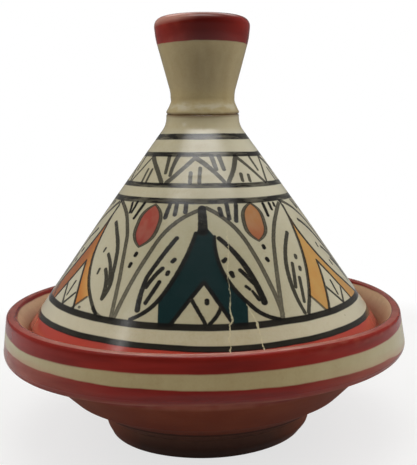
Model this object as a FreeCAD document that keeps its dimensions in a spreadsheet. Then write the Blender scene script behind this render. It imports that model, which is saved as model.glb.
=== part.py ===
import FreeCAD
import Part
import Sketcher
import os

# Tagine pot: a footed dish with a stepped rim, and a conical lid that lifts off by a hollow knob.
# Millimetres, +Z up, origin at the centre of the foot's base. Every piece is turned about the Z axis, as on
# a potter's wheel: a half profile sketched in the XZ plane, revolved, then rounded where clay is rounded.

SHEET = "Sizes"

# Driving dimensions. A rise is a height above the point below it, and an inset, run, slope or overhang is a
# distance in or out from its neighbour, so every radius follows from the lip or the neck.
DRIVING = [
    # Foot ring
    ("foot_inset", 24.1),
    ("foot_flare", 4.3),
    ("foot_height", 17.0),
    ("foot_wall", 15.0),
    ("foot_edge_round", 1.6),
    ("foot_shoulder", 3.0),
    # Dish
    ("lip_radius", 124.6),
    ("lip_rise", 24.9),
    ("lip_wall", 5.2),
    ("lip_round", 2.5),
    ("belly_overhang", 3.6),
    ("belly_rise", 8.1),
    ("belly_round", 6.0),
    ("step_inset", 17.1),
    ("step_rise", 20.8),
    ("step_round", 8.0),
    ("bowl_run", 21.2),
    ("bowl_edge_rise", 9.8),
    ("bowl_edge_round", 4.0),
    ("bowl_wall", 10.0),
    ("floor_thickness", 10.0),
    ("well_round", 18.0),
    ("rim_slope", 7.4),
    ("seat_depth", 11.6),
    ("seat_width", 12.0),
    ("seat_edge_round", 2.0),
    # Lid
    ("lid_play", 1.7),
    ("lid_edge_thickness", 2.4),
    ("lid_edge_round", 0.9),
    ("lid_wall", 7.5),
    ("cone_height", 123.2),
    ("neck_radius", 23.3),
    ("neck_length", 6.3),
    ("neck_round", 14.0),
    ("crown_thickness", 9.0),
    ("crown_round", 8.0),
    # Neck coil
    ("coil_overhang", 0.2),
    ("coil_height", 10.4),
    ("coil_shoulder", 1.6),
    ("coil_round", 1.2),
    ("luting_gap", 0.05),
    # Knob
    ("waist_inset", 3.4),
    ("stem_inset", 3.4),
    ("flare_run", 9.5),
    ("flare_rise", 35.8),
    ("flare_round", 45.0),
    ("knob_lip_run", 1.4),
    ("knob_lip_rise", 13.7),
    ("knob_lip_wall", 8.0),
    ("knob_lip_round", 5.4),
    ("knob_mouth_round", 2.2),
    ("cup_depth", 39.2),
    ("cup_wall", 7.8),
    ("cup_round", 7.0),
]

SIZES = dict(DRIVING)

# Radii and heights that follow from the driving dimensions, each written as a sum of them.
BELLY_RADIUS = "lip_radius + belly_overhang"
STEP_RADIUS = "lip_radius - step_inset"
BOWL_EDGE_RADIUS = STEP_RADIUS + " - bowl_run"
FOOT_BASE_RADIUS = BOWL_EDGE_RADIUS + " - foot_inset"
FOOT_TOP_RADIUS = FOOT_BASE_RADIUS + " + foot_flare"
FOOT_HOLE_RADIUS = FOOT_BASE_RADIUS + " - foot_wall"
LIP_INNER_RADIUS = "lip_radius - lip_wall"
SEAT_RADIUS = LIP_INNER_RADIUS + " - rim_slope"
LID_RADIUS = SEAT_RADIUS + " - lid_play"
COIL_RADIUS = "neck_radius + coil_overhang"
WAIST_RADIUS = "neck_radius - waist_inset"
STEM_RADIUS = WAIST_RADIUS + " - stem_inset"
FLARE_RADIUS = WAIST_RADIUS + " + flare_run"
KNOB_LIP_RADIUS = FLARE_RADIUS + " + knob_lip_run"

FLOOR_HEIGHT = "foot_height + floor_thickness"
BOWL_EDGE_HEIGHT = "foot_height + bowl_edge_rise"
STEP_HEIGHT = BOWL_EDGE_HEIGHT + " + step_rise"
BELLY_HEIGHT = STEP_HEIGHT + " + belly_rise"
LIP_HEIGHT = BELLY_HEIGHT + " + lip_rise"
SEAT_HEIGHT = LIP_HEIGHT + " - seat_depth"
CONE_FOOT_HEIGHT = SEAT_HEIGHT + " + lid_edge_thickness"
CONE_TOP_HEIGHT = CONE_FOOT_HEIGHT + " + cone_height"
SEAM_HEIGHT = CONE_TOP_HEIGHT + " + neck_length"
CEILING_HEIGHT = SEAM_HEIGHT + " - crown_thickness"
WAIST_HEIGHT = SEAM_HEIGHT + " + coil_height"
FLARE_HEIGHT = WAIST_HEIGHT + " + flare_rise"
KNOB_TOP_HEIGHT = FLARE_HEIGHT + " + knob_lip_rise"
CUP_FLOOR_HEIGHT = KNOB_TOP_HEIGHT + " - cup_depth"


def value(words):
    """The number that a sum of driving dimensions comes to, such as "lip_radius - lip_wall"."""
    total, sign = 0.0, 1.0
    for word in words.split():
        if word in "+-":
            sign = 1.0 if word == "+" else -1.0
        else:
            total += sign * SIZES[word]
    return total


def expression(words):
    """The same sum as an expression that reads the spreadsheet's cells."""
    return " ".join(word if word in "+-" else f"{SHEET}.{word}" for word in words.split())


def make_sheet(doc):
    """One row for each driving dimension: its name, its value in millimetres and an alias."""
    sheet = doc.addObject("Spreadsheet::Sheet", SHEET)
    for row, (name, size) in enumerate(DRIVING, start=1):
        sheet.set(f"A{row}", name)
        sheet.set(f"B{row}", str(size))
        sheet.setAlias(f"B{row}", name)
    doc.recompute()


def make_body(doc, label):
    body = doc.addObject("PartDesign::Body", label.title().replace("_", ""))
    body.Label = label
    return body


def hold_point(sketch, line, name, radius, height):
    """Fixes the start of a line at a radius and a height, both bound to the spreadsheet."""
    start = 1
    origin = (-1, 1)
    for axis, words, axis_line in (("DistanceX", radius, -2), ("DistanceY", height, -1)):
        if words == "":
            sketch.addConstraint(Sketcher.Constraint("PointOnObject", line, start, axis_line))
            continue
        index = sketch.addConstraint(Sketcher.Constraint(axis, *origin, line, start, value(words)))
        label = f"{name}_{'radius' if axis == 'DistanceX' else 'height'}"
        sketch.renameConstraint(index, label)
        sketch.setExpression(f"Constraints.{label}", expression(words))


def turn(body, points):
    """Revolves a closed half profile about Z. Each point is a name, a radius and a height; "" means zero."""
    sketch = body.newObject("Sketcher::SketchObject", body.Name + "Profile")
    plane = [o for o in body.Origin.OriginFeatures if o.Role == "XZ_Plane"][0]
    sketch.AttachmentSupport = [(plane, "")]
    sketch.MapMode = "FlatFace"
    places = [FreeCAD.Vector(value(radius), value(height), 0) for _, radius, height in points]
    count = len(points)
    for i in range(count):
        sketch.addGeometry(Part.LineSegment(places[i], places[(i + 1) % count]))
    for i in range(count):
        sketch.addConstraint(Sketcher.Constraint("Coincident", i, 2, (i + 1) % count, 1))
    for i, (name, radius, height) in enumerate(points):
        hold_point(sketch, i, name, radius, height)
    turned = body.newObject("PartDesign::Revolution", body.Name + "Turned")
    turned.Profile = sketch
    turned.ReferenceAxis = (sketch, ["V_Axis"])
    turned.Angle = 360
    body.Document.recompute()


def circle_edges(shape, radius, height):
    """Names of the edges that are whole circles of that radius at that height."""
    near = 1e-4
    names = []
    for number, edge in enumerate(shape.Edges, start=1):
        curve = edge.Curve
        if curve.TypeId != "Part::GeomCircle":
            continue
        if abs(curve.Radius - radius) < near and abs(curve.Center.z - height) < near:
            names.append(f"Edge{number}")
    return names


def round_off(body, name, places, size):
    """Rounds the circular edges at these places by a driving dimension."""
    base = body.Tip
    edges = []
    for radius, height in places:
        found = circle_edges(base.Shape, value(radius), value(height))
        if not found:
            raise RuntimeError(f"{body.Label}: no edge at {radius}, {height}")
        edges += found
    fillet = body.newObject("PartDesign::Fillet", body.Name + name)
    fillet.Base = (base, edges)
    fillet.Radius = SIZES[size]
    fillet.setExpression("Radius", expression(size))
    body.Document.recompute()


def make_foot_ring(doc):
    body = make_body(doc, "foot_ring")
    turn(body, [
        ("base_inner", FOOT_HOLE_RADIUS, ""),
        ("base_outer", FOOT_BASE_RADIUS, ""),
        ("top_outer", FOOT_TOP_RADIUS, "foot_height"),
        ("top_inner", FOOT_HOLE_RADIUS, "foot_height"),
    ])
    round_off(body, "BaseRound", [(FOOT_HOLE_RADIUS, ""), (FOOT_BASE_RADIUS, "")], "foot_edge_round")
    return body


def make_dish(doc):
    body = make_body(doc, "dish")
    seat_inner = (SEAT_RADIUS + " - seat_width", SEAT_HEIGHT)
    well_side = (STEP_RADIUS + " - bowl_wall", STEP_HEIGHT + " + bowl_wall")
    well_floor = (BOWL_EDGE_RADIUS + " - bowl_wall", FLOOR_HEIGHT)
    turn(body, [
        ("underside_middle", "", "foot_height"),
        ("underside_edge", FOOT_TOP_RADIUS + " + foot_shoulder", "foot_height"),
        ("bowl_edge", BOWL_EDGE_RADIUS, BOWL_EDGE_HEIGHT),
        ("step", STEP_RADIUS, STEP_HEIGHT),
        ("belly", BELLY_RADIUS, BELLY_HEIGHT),
        ("lip_outer", "lip_radius", LIP_HEIGHT),
        ("lip_inner", LIP_INNER_RADIUS, LIP_HEIGHT),
        ("seat_outer", SEAT_RADIUS, SEAT_HEIGHT),
        ("seat_inner", *seat_inner),
        ("well_side", *well_side),
        ("well_floor", *well_floor),
        ("floor_middle", "", FLOOR_HEIGHT),
    ])
    round_off(body, "BellyRound", [(BELLY_RADIUS, BELLY_HEIGHT)], "belly_round")
    round_off(body, "LipRound", [("lip_radius", LIP_HEIGHT), (LIP_INNER_RADIUS, LIP_HEIGHT)], "lip_round")
    round_off(body, "StepRound", [(STEP_RADIUS, STEP_HEIGHT)], "step_round")
    round_off(body, "BowlEdgeRound", [(BOWL_EDGE_RADIUS, BOWL_EDGE_HEIGHT)], "bowl_edge_round")
    round_off(body, "WellRound", [well_side, well_floor], "well_round")
    round_off(body, "SeatRound", [seat_inner], "seat_edge_round")
    return body


def make_lid_cone(doc):
    body = make_body(doc, "lid_cone")
    edge_inner = LID_RADIUS + " - lid_wall"
    ceiling = ("neck_radius - lid_wall", CEILING_HEIGHT)
    turn(body, [
        ("edge_inner", edge_inner, SEAT_HEIGHT),
        ("edge_outer", LID_RADIUS, SEAT_HEIGHT),
        ("cone_foot", LID_RADIUS, CONE_FOOT_HEIGHT),
        ("cone_top", "neck_radius", CONE_TOP_HEIGHT),
        ("seam_outer", "neck_radius", SEAM_HEIGHT),
        ("seam_middle", "", SEAM_HEIGHT),
        ("ceiling_middle", "", CEILING_HEIGHT),
        ("ceiling_edge", *ceiling),
    ])
    round_off(body, "NeckRound", [("neck_radius", CONE_TOP_HEIGHT)], "neck_round")
    round_off(body, "CrownRound", [ceiling], "crown_round")
    rim = [(LID_RADIUS, SEAT_HEIGHT), (LID_RADIUS, CONE_FOOT_HEIGHT), (edge_inner, SEAT_HEIGHT)]
    round_off(body, "EdgeRound", rim, "lid_edge_round")
    return body


def make_neck_coil(doc):
    body = make_body(doc, "neck_coil")
    bore = STEM_RADIUS + " + luting_gap"
    shoulder_height = SEAM_HEIGHT + " + coil_shoulder"
    turn(body, [
        ("bore_foot", bore, SEAM_HEIGHT),
        ("foot", COIL_RADIUS, SEAM_HEIGHT),
        ("shoulder", COIL_RADIUS, shoulder_height),
        ("waist", WAIST_RADIUS, WAIST_HEIGHT),
        ("bore_top", bore, WAIST_HEIGHT),
    ])
    round_off(body, "ShoulderRound", [(COIL_RADIUS, shoulder_height)], "coil_round")
    return body


def make_lid_knob(doc):
    body = make_body(doc, "lid_knob")
    lip_inner = KNOB_LIP_RADIUS + " - knob_lip_wall"
    cup_edge = (WAIST_RADIUS + " - cup_wall", CUP_FLOOR_HEIGHT)
    turn(body, [
        ("stem_middle", "", SEAM_HEIGHT),
        ("stem_foot", STEM_RADIUS, SEAM_HEIGHT),
        ("stem_top", STEM_RADIUS, WAIST_HEIGHT),
        ("waist", WAIST_RADIUS, WAIST_HEIGHT),
        ("flare", FLARE_RADIUS, FLARE_HEIGHT),
        ("lip_outer", KNOB_LIP_RADIUS, KNOB_TOP_HEIGHT),
        ("lip_inner", lip_inner, KNOB_TOP_HEIGHT),
        ("cup_edge", *cup_edge),
        ("cup_middle", "", CUP_FLOOR_HEIGHT),
    ])
    round_off(body, "FlareRound", [(FLARE_RADIUS, FLARE_HEIGHT)], "flare_round")
    round_off(body, "LipRound", [(KNOB_LIP_RADIUS, KNOB_TOP_HEIGHT)], "knob_lip_round")
    round_off(body, "MouthRound", [(lip_inner, KNOB_TOP_HEIGHT)], "knob_mouth_round")
    round_off(body, "CupRound", [cup_edge], "cup_round")
    return body


def check(doc, bodies):
    """Stops before anything is written if a feature failed or a piece isn't one valid solid."""
    for item in doc.Objects:
        if "Invalid" in item.State or "Error" in item.State:
            raise RuntimeError(f"{item.Label} failed: {item.State}")
    for body in bodies:
        shape = body.Shape
        if shape.isNull() or not shape.isValid() or len(shape.Solids) != 1:
            raise RuntimeError(f"{body.Label} isn't one valid solid")


def main():
    doc = FreeCAD.newDocument("TaginePot")
    make_sheet(doc)
    makers = (make_foot_ring, make_dish, make_lid_cone, make_neck_coil, make_lid_knob)
    bodies = [make(doc) for make in makers]
    doc.recompute()
    check(doc, bodies)
    os.makedirs("parts", exist_ok=True)
    for body in bodies:
        body.Shape.exportStep(f"parts/{body.Label}.step")
        box = body.Shape.optimalBoundingBox()
        print(f"{body.Label}: {box.XLength:.1f} wide, {box.ZMin:.1f} to {box.ZMax:.1f} high, "
              f"{body.Shape.Volume / 1000:.1f} cm3")


main()
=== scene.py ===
import math

import bpy
import numpy as np
from mathutils import Matrix, Vector, noise


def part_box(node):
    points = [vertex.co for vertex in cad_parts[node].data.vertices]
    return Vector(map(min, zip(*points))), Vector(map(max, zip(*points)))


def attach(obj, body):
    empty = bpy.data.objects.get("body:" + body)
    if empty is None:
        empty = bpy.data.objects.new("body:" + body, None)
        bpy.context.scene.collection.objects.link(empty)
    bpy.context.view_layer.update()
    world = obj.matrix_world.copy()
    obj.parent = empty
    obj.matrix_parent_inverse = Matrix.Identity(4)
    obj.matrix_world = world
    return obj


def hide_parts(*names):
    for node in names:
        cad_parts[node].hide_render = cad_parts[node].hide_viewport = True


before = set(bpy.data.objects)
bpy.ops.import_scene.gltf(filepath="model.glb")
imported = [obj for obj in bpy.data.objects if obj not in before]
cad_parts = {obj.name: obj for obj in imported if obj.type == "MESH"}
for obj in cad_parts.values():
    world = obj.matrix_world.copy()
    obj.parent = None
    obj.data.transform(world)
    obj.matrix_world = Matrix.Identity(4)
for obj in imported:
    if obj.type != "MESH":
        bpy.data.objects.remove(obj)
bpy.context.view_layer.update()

mm = 0.001
halfPanel = math.pi / 3  # half of one painted panel: three panels go round the pot


def nodeBox(node):
    low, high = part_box(node)
    return low / mm, high / mm


def paint(red, green, blue):  # a colour as a screen shows it, 0 to 255, turned to light
    shares = [value / 255 for value in (red, green, blue)]
    light = [s / 12.92 if s <= 0.04045 else ((s + 0.055) / 1.055) ** 2.4 for s in shares]
    return (*light, 1.0)


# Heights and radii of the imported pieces, in millimetres
footHigh = nodeBox("foot_ring")[1]
dishLow, dishHigh = nodeBox("dish")
lidLow, lidHigh = nodeBox("lid_cone")
coilLow, coilHigh = nodeBox("neck_coil")
knobLow, knobHigh = nodeBox("lid_knob")
seatHeight = lidLow.z
print("frame read: pot", round(knobHigh.z, 1), "mm high,", round(2 * dishHigh.x, 1), "mm wide")


# Turning on the wheel

wheel = {
    "segments": 240,
    "step": 1.5,  # longest run between two points of a profile
    "bend": 0.22,  # most that a rounding turns between two points, in radians
    "ringPitch": 4.2,  # height of one throwing ring
    "ringDepth": 0.06,
    "spiral": 0.6,
    "fadeSize": 30.0,  # the rings come and go over this length
    "lumpSize": 42.0,
    "lumpDepth": 0.55,
    "calm": 12.0,  # radius within which the marks die out
    "paintedShare": 3,  # how much more of the bake map a painted zone gets
    "mapMargin": 0.004,
    "sharp": math.radians(40),
}


def roundedLine(corners, closed):
    # corners are (radius, height, rounding, zone); gives close points, each with its zone
    points = []
    count = len(corners)
    for i, (r, z, rounding, zone) in enumerate(corners):
        here = Vector((r, z))
        if rounding == 0 or (not closed and i in (0, count - 1)):
            points.append((here, zone))
            continue
        before = Vector(corners[i - 1][:2])
        after = Vector(corners[(i + 1) % count][:2])
        toBefore, toAfter = (before - here).normalized(), (after - here).normalized()
        angle = toBefore.angle(toAfter)
        reach = rounding / math.tan(angle / 2)
        centre = here + (toBefore + toAfter).normalized() * rounding / math.sin(angle / 2)
        start, end = here + toBefore * reach - centre, here + toAfter * reach - centre
        sweep = end.angle_signed(start)
        bends = math.ceil(abs(sweep) / wheel["bend"])
        pieces = max(3, math.ceil(abs(sweep) * rounding / wheel["step"]), bends)
        zoneBefore = corners[i - 1][3]
        for k in range(pieces + 1):
            turn = Matrix.Rotation(sweep * k / pieces, 2)
            points.append((centre + turn @ start, zoneBefore if k * 2 < pieces else zone))
    line = []
    pairs = list(zip(points, points[1:] + points[:1] if closed else points[1:]))
    for (a, zone), (b, _) in pairs:
        pieces = max(1, math.ceil((b - a).length / wheel["step"]))
        for k in range(pieces):
            line.append((a.lerp(b, k / pieces), zone))
    if not closed:
        line.append(points[-1])
    return line


def handMark(x, y, z, r):
    # how far the potter's hand left the wall inside the true profile
    ring = math.sin(2 * math.pi * z / wheel["ringPitch"] + wheel["spiral"] * math.atan2(x, -y))
    fade = 0.5 + 0.5 * noise.noise(Vector((x, y, z * 3)) / wheel["fadeSize"])
    lump = noise.noise(Vector((x, y, z)) / wheel["lumpSize"])
    inward = wheel["ringDepth"] * (1 - ring) * 0.5 * fade + wheel["lumpDepth"] * (0.5 + 0.5 * lump)
    return inward * min(1.0, r / wheel["calm"])


def turned(name, corners, finishes, painted=(), shape=None):
    # a closed lathe-turned piece; zones pick the finish, painted zones get more of the bake map
    closed = corners[0][0] > 0
    line = roundedLine(corners, closed)
    count, margin = wheel["segments"], wheel["mapMargin"]
    zones = list(finishes)
    places, rows = [], []
    for point, zone in line:
        r, z = point
        if r < 1e-6:
            rows.append([len(places)] * count)
            places.append((0.0, 0.0, z * mm))
            continue
        row = []
        for k in range(count):
            angle = 2 * math.pi * k / count
            x, y = r * math.sin(angle), -r * math.cos(angle)
            inside = (r - handMark(x, y, z, r)) / r
            spot = Vector((x * inside, y * inside, z))
            if shape:
                spot = shape(spot, r, zone)
            row.append(len(places))
            places.append(tuple(spot * mm))
        rows.append(row)
    spans = []
    for (here, zone), (after, _) in zip(line, line[1:] + line[:1]):
        spans.append((after - here).length * (wheel["paintedShare"] if zone in painted else 1))
    total = sum(spans) if closed else sum(spans[:-1])
    faces, maps, slots = [], [], []
    gone = 0.0
    last = len(line) if closed else len(line) - 1
    for i in range(last):
        low, high = gone / total, (gone + spans[i]) / total
        gone += spans[i]
        nextRow = rows[(i + 1) % len(line)]
        for k in range(count):
            j = (k + 1) % count
            lower, left = divmod(k, count // 2)
            u0, u1 = left / (count // 2), (left + 1) / (count // 2)
            corner = [
                (rows[i][k], u0, low), (rows[i][j], u1, low),
                (nextRow[j], u1, high), (nextRow[k], u0, high),
            ]
            if rows[i][k] == rows[i][j]:
                corner.pop(1)
            elif nextRow[j] == nextRow[k]:
                corner.pop(2)
            faces.append([c[0] for c in corner])
            for _, u, v in corner:
                maps.append((margin + (1 - 2 * margin) * u, 0.5 * lower + margin + (0.5 - 2 * margin) * v))
            slots.append(zones.index(line[i][1]))
    mesh = bpy.data.meshes.new(name)
    mesh.from_pydata(places, [], faces)
    mesh.uv_layers.new(name="OFBake").data.foreach_set("uv", np.array(maps, np.float32).ravel())
    for zone in zones:
        mesh.materials.append(finishes[zone])
    mesh.polygons.foreach_set("material_index", slots)
    mesh.polygons.foreach_set("use_smooth", [True] * len(faces))
    mesh.set_sharp_from_angle(angle=wheel["sharp"])
    mesh.update()
    piece = bpy.data.objects.new(name, mesh)
    bpy.context.scene.collection.objects.link(piece)
    print("turned", name, len(faces), "faces")
    return piece


# Shader maths

class Wire:
    # one socket in a finish; sums written with it add Math nodes
    def __init__(self, tree, socket=None):
        self.tree = tree
        self.socket = socket

    def node(self, kind, settings, sockets, out=0):
        made = self.tree.nodes.new(kind)
        for key, value in settings.items():
            setattr(made, key, value)
        for key, value in sockets.items():
            if isinstance(value, Wire):
                self.tree.links.new(value.socket, made.inputs[key])
            else:
                made.inputs[key].default_value = value
        return Wire(self.tree, made.outputs[out] if len(made.outputs) else None)

    def sum(self, operation, *values):
        return self.node("ShaderNodeMath", {"operation": operation}, dict(enumerate(values)))

    def __add__(self, other):
        return self.sum("ADD", self, other)

    def __sub__(self, other):
        return self.sum("SUBTRACT", self, other)

    def __rsub__(self, other):
        return self.sum("SUBTRACT", other, self)

    def __mul__(self, other):
        return self.sum("MULTIPLY", self, other)

    def __truediv__(self, other):
        return self.sum("DIVIDE", self, other)

    def __rtruediv__(self, other):
        return self.sum("DIVIDE", other, self)

    def __neg__(self):
        return self.sum("MULTIPLY", self, -1.0)

    def __abs__(self):
        return self.sum("ABSOLUTE", self)

    def plus(self, factor, other):
        return self.sum("MULTIPLY_ADD", self, factor, other)

    def root(self):
        return self.sum("SQRT", self)

    def least(self, other):
        return self.sum("MINIMUM", self, other)

    def most(self, other):
        return self.sum("MAXIMUM", self, other)

    def kept(self):  # held between 0 and 1
        return self.node("ShaderNodeClamp", {}, {0: self})

    def above(self, level, soft):  # 0 below the level, 1 above it, over a soft edge
        return self.plus(1.0 / soft, 0.5 - level / soft).kept()

    def below(self, level, soft):
        return self.plus(-1.0 / soft, 0.5 + level / soft).kept()

    def within(self, low, high, soft):
        middle, reach = (low + high) / 2, (high - low) / 2
        return abs(self - middle).plus(-1.0 / soft, reach / soft + 0.5).kept()

    def dot(self, vector):
        return self.node("ShaderNodeVectorMath", {"operation": "DOT_PRODUCT"}, {0: self, 1: vector}, 1)

    def scaled(self, vector):
        return self.node("ShaderNodeVectorMath", {"operation": "MULTIPLY"}, {0: self, 1: vector})

    def shifted(self, vector):
        return self.node("ShaderNodeVectorMath", {"operation": "ADD"}, {0: self, 1: vector})

    def cloud(self, size, detail, stretch=(1, 1, 1)):
        # noise from 0 to 1, in lumps of about this size in millimetres
        spot = self.scaled(tuple(s / size for s in stretch))
        return self.node("ShaderNodeTexNoise", {}, {"Vector": spot, "Scale": 1.0, "Detail": detail})

    def between(self, first, second):  # the first colour where this is 0, the second where it is 1
        return self.node("ShaderNodeMix", {"data_type": "RGBA"}, {0: self, 6: first, 7: second}, 2)

    def under(self, colour, mask):  # this colour, with another one laid over it
        return self.node("ShaderNodeMix", {"data_type": "RGBA"}, {0: mask, 6: self, 7: colour}, 2)


def vector(x, y, z):
    wire = next(v for v in (x, y, z) if isinstance(v, Wire))
    return wire.node("ShaderNodeCombineXYZ", {}, {0: x, 1: y, 2: z})


# Glazes and clay

glaze = {
    "cream": paint(196, 189, 160),  # on the lid
    "paleCream": paint(214, 208, 184),
    "butter": paint(188, 171, 128),  # on the knob and the dish
    "honey": paint(156, 130, 80),
    "red": paint(142, 37, 28),
    "brick": paint(170, 58, 42),
    "deepRed": paint(92, 20, 15),
    "oxblood": paint(66, 13, 10),
    "pink": paint(178, 112, 88),
    "palePink": paint(204, 152, 134),
    "peach": paint(228, 192, 154),  # inside the rim; lighter than the butter, partly as painted light in the rim's shaded groove
    "olive": paint(126, 102, 54),
    "clay": paint(122, 49, 21),
    "palerClay": paint(138, 66, 36),
    "foot": paint(124, 82, 64),
    "footDark": paint(76, 47, 35),
    "stain": paint(104, 70, 30),
    "roughness": 0.18,
    "specular": 0.4,
    "lidSpecular": 0.8,
    "dishSpecular": 0.28,
    "clayRoughness": 0.72,
    "slipRoughness": 0.55,
    "claySpecular": 0.3,
    "warmth": 0.3,  # how far cream pools to honey
    "lidWarmth": 0.22,
    "rimWarmth": 0.2,
}


class Finish:
    # a material, with its place on the pot in millimetres
    def __init__(self, name, roughness=glaze["roughness"], specular=glaze["specular"]):
        self.material = bpy.data.materials.new(name)
        self.material.use_nodes = True
        self.tree = self.material.node_tree
        self.shader = next(n for n in self.tree.nodes if n.type == "BSDF_PRINCIPLED")
        self.shader.inputs["Roughness"].default_value = roughness
        self.shader.inputs["Specular IOR Level"].default_value = specular
        start = Wire(self.tree)
        self.spot = start.node("ShaderNodeTexCoord", {}, {}, "Object").scaled((1 / mm,) * 3)
        parts = self.spot.node("ShaderNodeSeparateXYZ", {}, {0: self.spot})
        self.x, self.y, self.z = (Wire(self.tree, parts.socket.node.outputs[i]) for i in range(3))

    def wear(self, socket, value):
        self.tree.links.new(value.socket, self.shader.inputs[socket])

    def relief(self, height):  # height in millimetres
        bump = height.node("ShaderNodeBump", {}, {"Strength": 1.0, "Distance": mm, "Height": height})
        self.wear("Normal", bump)


def creamGlaze(finish, cream, warmth=glaze["warmth"]):
    # cream glaze, pooled and run warmer in places, with a fine grain
    spot = finish.spot
    pool = spot.cloud(38, 3, (1, 1, 0.7)).above(0.53, 0.5)
    runs = spot.cloud(6, 2, (1, 1, 0.12)).above(0.56, 0.4)
    grain = spot.cloud(1.3, 1).above(0.6, 0.3)
    mottle = spot.cloud(4.2, 2).above(0.55, 0.4)
    tone = pool * warmth + runs * (0.4 * warmth) + grain * 0.10 + mottle * 0.10
    return tone.between(cream, glaze["honey"])


def redGlaze(finish):
    # red glaze, brushed on round the pot
    brushed = finish.spot.cloud(16, 3, (0.35, 0.35, 2.2)).above(0.52, 0.35)
    return (brushed * 0.6).between(glaze["red"], glaze["deepRed"])


def glazed(finish, colour):
    # glaze of this colour, with its skin and its runs
    finish.wear("Base Color", colour)
    peel = finish.spot.cloud(2.2, 1)
    runs = finish.spot.cloud(9, 2, (1, 1, 0.2))
    finish.relief(peel * 0.02 + runs * 0.07)
    return finish.material


def clayFinish():
    # unglazed clay, grainy and wiped
    finish = Finish("bareClay", glaze["clayRoughness"], glaze["claySpecular"])
    grain = finish.spot.cloud(1.1, 3)
    patch = finish.spot.cloud(24, 3)
    tint = (patch.above(0.5, 0.4) * 0.7).between(glaze["clay"], glaze["palerClay"])
    tint = tint.under(glaze["palerClay"], grain.above(0.62, 0.2) * 0.35)
    finish.wear("Base Color", tint)
    finish.relief(grain * 0.12 + finish.spot.cloud(4, 2, (0.3, 0.3, 1.6)) * 0.12)
    return finish.material


# Brush strokes on the lid's cone, drawn on the cone laid out flat.
# X runs round the pot and Y down the slope from the cone's point, both in millimetres.
# A stroke is (start, end, bow, width, width at the end).

tealTent = {
    "black": {
        "stem": ((-0.5, 99.5), (0, 114), 0, 4.4, 5.4),
        "leftEdge": ((-4, 115), (-24, 154), 2.2, 2, 2.4),
        "leftHem": ((-24, 154), (-40, 163.5), 1.5, 2.4, 2.2),
        "rightEdge": ((6.5, 117), (26, 157.5), -5.5, 1.6, 2.4),
        "rightHem": ((26, 157.5), (42, 163.5), -1.8, 2.4, 2.2),
        "doorLeft": ((0.5, 145), (-17.5, 169), 0, 2, 2),
        "doorRight": ((0.5, 145), (15, 167.5), 0, 2, 2),
        "latticeLeft": ((-6, 155.5), (1, 169), 0, 1.9, 1.9),
        "latticeRight": ((9.5, 159), (3.5, 169), 0.8, 1.9, 1.9),
        "doorDot": ((2, 155.8), (2, 157.2), 0, 2.3, 2.3),
        "leftVeinTop": ((-14.5, 117.5), (-31, 139.5), -0.5, 2.4, 2.4),
        "leftVeinLow": ((-31, 139.5), (-36, 158.5), -0.9, 2.4, 3),
        "leftHatchOne": ((-22.5, 135.5), (-31.5, 145.5), -0.5, 2.4, 2.2),
        "leftHatchTwo": ((-24, 143.5), (-31.5, 155), 0, 2.2, 2.2),
        "leftDotOne": ((-15.8, 130.8), (-16.8, 131.8), 0, 2.4, 2.3),
        "leftDotTwo": ((-19.2, 138.2), (-19.6, 139.2), 0, 2.4, 2.1),
        "rightVein": ((9, 118), (33.5, 154.5), 2.9, 2.4, 3.8),
        "rightHatch": ((20.5, 137), (28, 144), 0, 2.2, 2.6),
        "rightCurl": ((23.5, 146.5), (25.5, 148), 0, 1.7, 1.4),
        "rightTick": ((27, 149), (30.5, 153.5), 0, 1.4, 2),
        "rightDotOne": ((12.4, 130.8), (11.4, 132), 0, 2, 2.4),
        "rightDotTwo": ((15.6, 139.2), (16.3, 141), 0, 2.8, 2.1),
        "redDotOne": ((-38.4, 123.2), (-39.1, 124.2), 0, 2.2, 2.1),
        "redDotTwo": ((-41.7, 129.2), (-42.4, 130.6), 0, 2.2, 2),
        "orangeDotOne": ((34.8, 119.6), (35.2, 120.6), 0, 2.1, 2.1),
        "orangeDotTwo": ((36.5, 127.6), (37.1, 128.4), 0, 2.3, 2.1),
        "redFringeOne": ((-45, 86), (-46, 92.5), 0, 1.7, 1.6),
        "redFringeTwo": ((-41, 87), (-44.5, 93), 0, 1.7, 1.6),
        "redFringeThree": ((-35.5, 89.5), (-42, 98), 0, 1.9, 1.8),
        "redFringeFour": ((-19, 95), (-21.5, 103), 0, 2, 2.4),
        "redFringeFive": ((-15, 95.5), (-16, 102), 0, 2.2, 2.2),
        "redFringeSix": ((-9.5, 95.5), (-10, 101), 0, 2.2, 2.4),
        "orangeFringeOne": ((9.5, 99), (10.5, 103), 0, 2.4, 2.2),
        "orangeFringeTwo": ((13.5, 95.5), (15, 105), 0, 2.2, 2.2),
        "orangeFringeThree": ((19, 95), (19, 106), 0, 2.2, 2.2),
        "orangeFringeFour": ((36.5, 90.5), (39.5, 97.5), 0, 2, 1.8),
        "orangeFringeFive": ((41, 88.5), (42.5, 92), 0, 2, 1.8),
        "orangeFringeSix": ((44.5, 87), (45, 88.5), 0, 1.8, 1.8),
    },
    "wash": {
        "leftLeafTop": ((-1, 100), (-28, 121), -3, 2.2, 2.2),
        "leftLeafLow": ((-28, 121), (-50.2, 161), -1.2, 2.2, 2.4),
        "rightLeafTop": ((2, 99), (26, 121), 2.4, 2.2, 2.2),
        "rightLeafLow": ((26, 121), (44, 160), 1.2, 2.2, 2.4),
    },
    "ends": (  # straight cuts that end the fill, with the side that is kept
        ((-24.3, 150), (-24.3, 170), 1), ((24.2, 150), (24.2, 170), -1),
        ((2.5, 112), (7, 117.5), -1), ((-10, 112), (10, 112), -1),
    ),
}

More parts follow.
